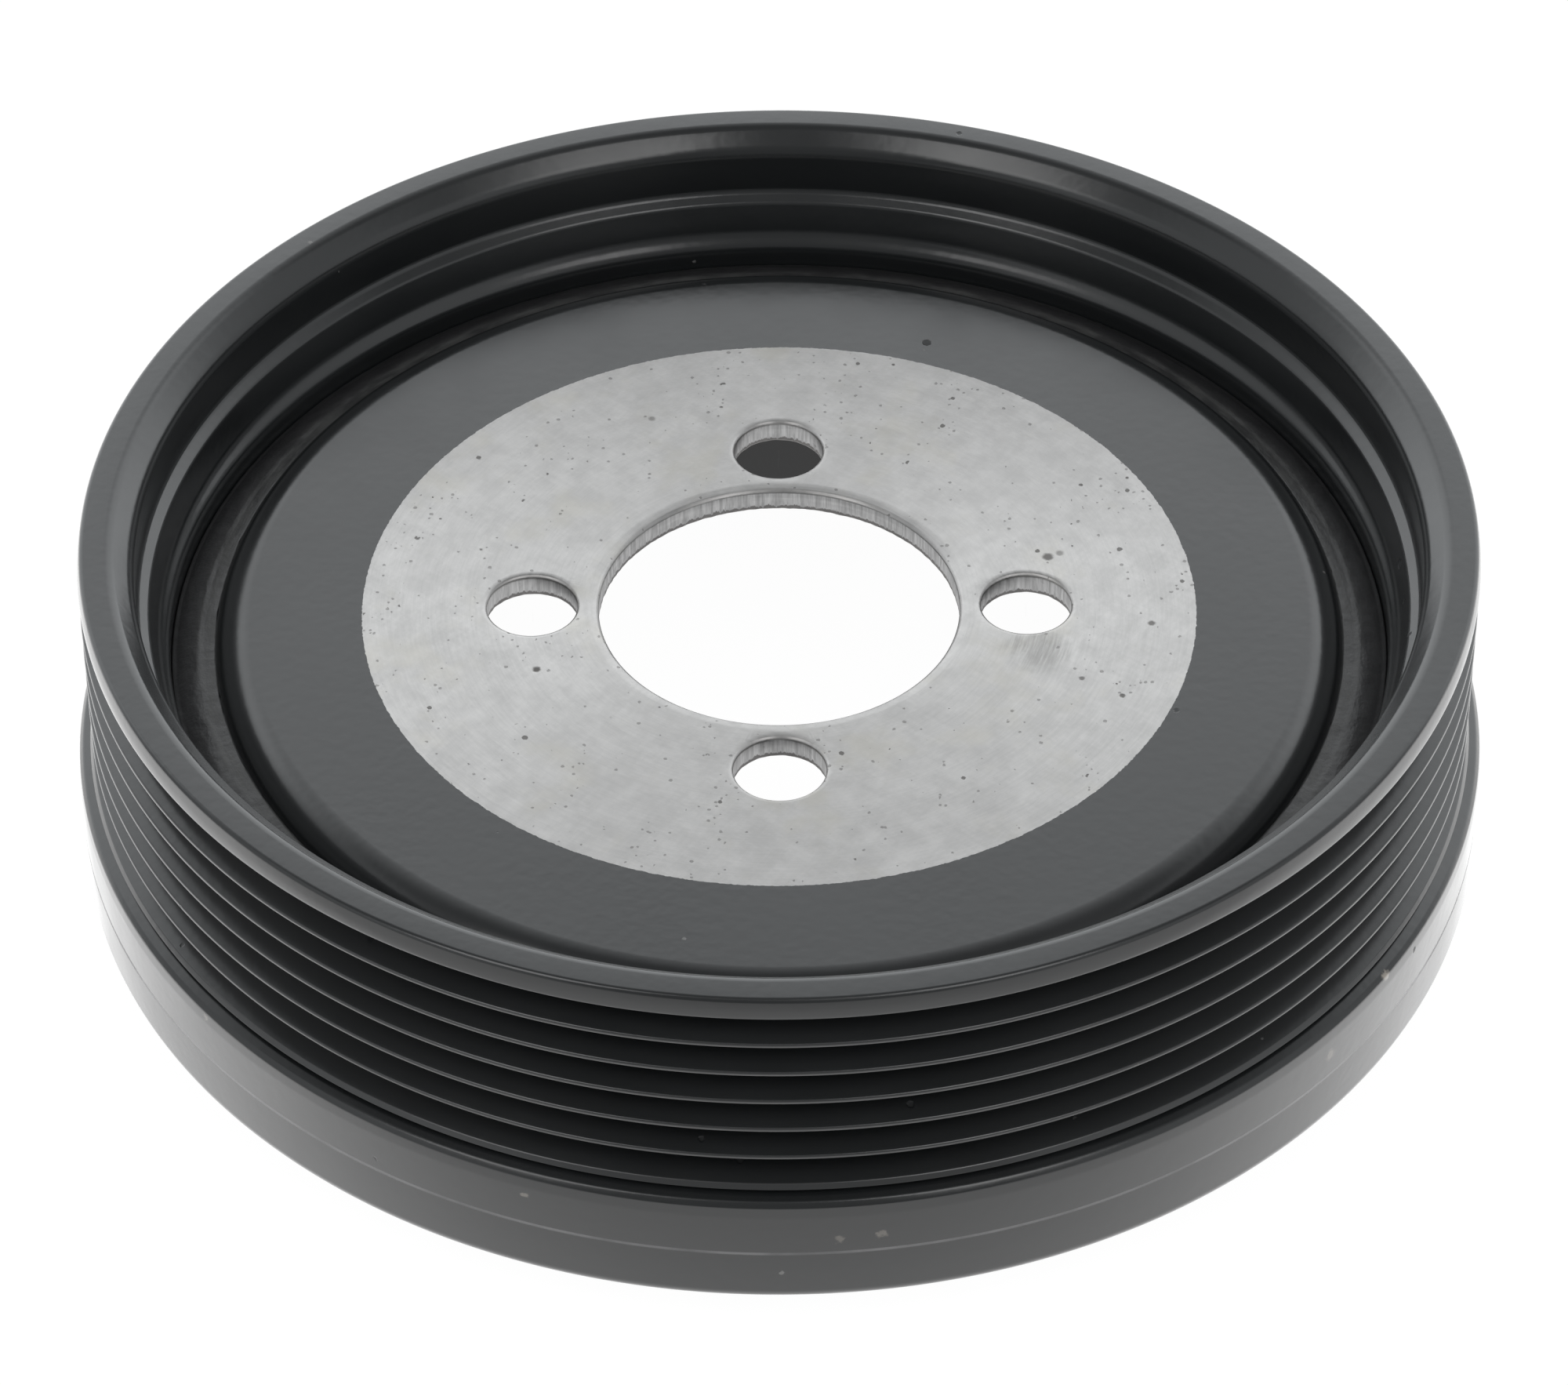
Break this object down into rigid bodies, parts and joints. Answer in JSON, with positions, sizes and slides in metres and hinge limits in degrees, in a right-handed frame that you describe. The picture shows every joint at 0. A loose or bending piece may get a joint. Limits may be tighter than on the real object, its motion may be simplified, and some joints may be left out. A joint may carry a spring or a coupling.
{
  "type": "harmonic balancer",
  "caption": "Crankshaft vibration damper: a belt-grooved pulley ring bonded by rubber to a drawn steel hub with a central bore and a bolt circle.",
  "frame": {"origin": "centre of the bore at the hub's rear seat, the face that bolts up against the crankshaft", "axes": "+Z along the bore axis, towards the front of the engine; bolt holes on X and Y"},
  "size_m": [0.1406, 0.1406, 0.0404],
  "materials": {
    "hub": "semi-gloss black coat, mounting face left bare and turned",
    "damping_ring": "satin black moulded rubber",
    "pulley_ring": "semi-gloss black coat"
  },
  "bodies": {
    "root": {"hub": "hub", "damping_ring": "damping_ring", "pulley_ring": "pulley_ring"}
  },
  "joints": []
}
